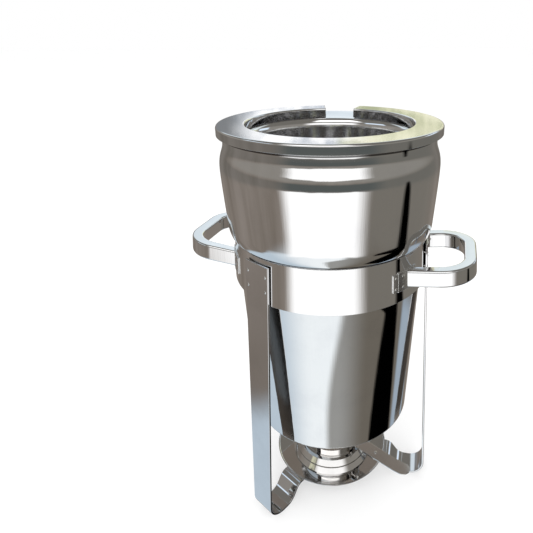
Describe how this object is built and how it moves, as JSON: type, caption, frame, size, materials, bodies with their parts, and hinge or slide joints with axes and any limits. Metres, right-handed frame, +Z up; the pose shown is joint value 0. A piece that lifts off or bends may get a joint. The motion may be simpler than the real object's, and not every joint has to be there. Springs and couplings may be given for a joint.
{
  "type": "soup station",
  "caption": "Polished steel soup station: a lift-out soup pot in a water pan that hangs in a legged stand over a fuel burner, under a loose cover ring with a gap for the ladle.",
  "frame": {"origin": "on the floor, on the axis of the pan", "axes": "+Z up along the axis of the pan, +X through the middle of the right-hand handle, +Y towards the ladle gap's side"},
  "size_m": [0.4128, 0.2996, 0.5797],
  "materials": {
    "polished_steel": "mirror polished stainless steel",
    "strap_steel": "polished stainless steel bar, slightly wavy",
    "burner_steel": "polished stainless steel sheet",
    "rivet_steel": "satin stainless steel"
  },
  "bodies": {
    "stand": {"hoop": "polished_steel", "leg_1": "strap_steel", "leg_2": "strap_steel", "leg_3": "strap_steel", "leg_rivets": "rivet_steel", "handle_right": "polished_steel", "handle_left": "polished_steel", "bracket_right_front": "strap_steel", "bracket_right_back": "strap_steel", "bracket_left_front": "strap_steel", "bracket_left_back": "strap_steel", "bracket_rivets": "rivet_steel", "burner_tray": "burner_steel"},
    "water_pan": {"pan_bowl": "polished_steel", "pan_cone": "polished_steel", "pan_base": "polished_steel"},
    "soup_pot": {"soup_pot": "polished_steel"},
    "cover_ring": {"ring_shell": "polished_steel", "ring_end_near": "polished_steel", "ring_end_far": "polished_steel"},
    "fuel_cup": {"burner_base": "burner_steel", "fuel_cup": "burner_steel", "pivot_lug": "burner_steel", "pivot_pin": "rivet_steel"},
    "damper": {"damper_plate": "burner_steel", "damper_grip": "strap_steel", "grip_rivet": "rivet_steel"}
  },
  "joints": [
    {"name": "water_pan_lift", "type": "slide", "parent": "stand", "child": "water_pan", "axis": [0, 0, 1], "range_m": [0, 0.3]},
    {"name": "soup_pot_lift", "type": "slide", "parent": "water_pan", "child": "soup_pot", "axis": [0, 0, 1], "range_m": [0, 0.37]},
    {"name": "cover_ring_lift", "type": "slide", "parent": "soup_pot", "child": "cover_ring", "axis": [0, 0, 1], "range_m": [0, 0.06]},
    {"name": "fuel_cup_lift", "type": "slide", "parent": "stand", "child": "fuel_cup", "axis": [0, 0, 1], "range_m": [0, 0.06]},
    {"name": "damper_swing", "type": "hinge", "parent": "fuel_cup", "child": "damper", "pos_m": [0.05323, -0.03051, 0.0645], "axis": [0, 0, 1], "range_deg": [-110, 110]}
  ]
}
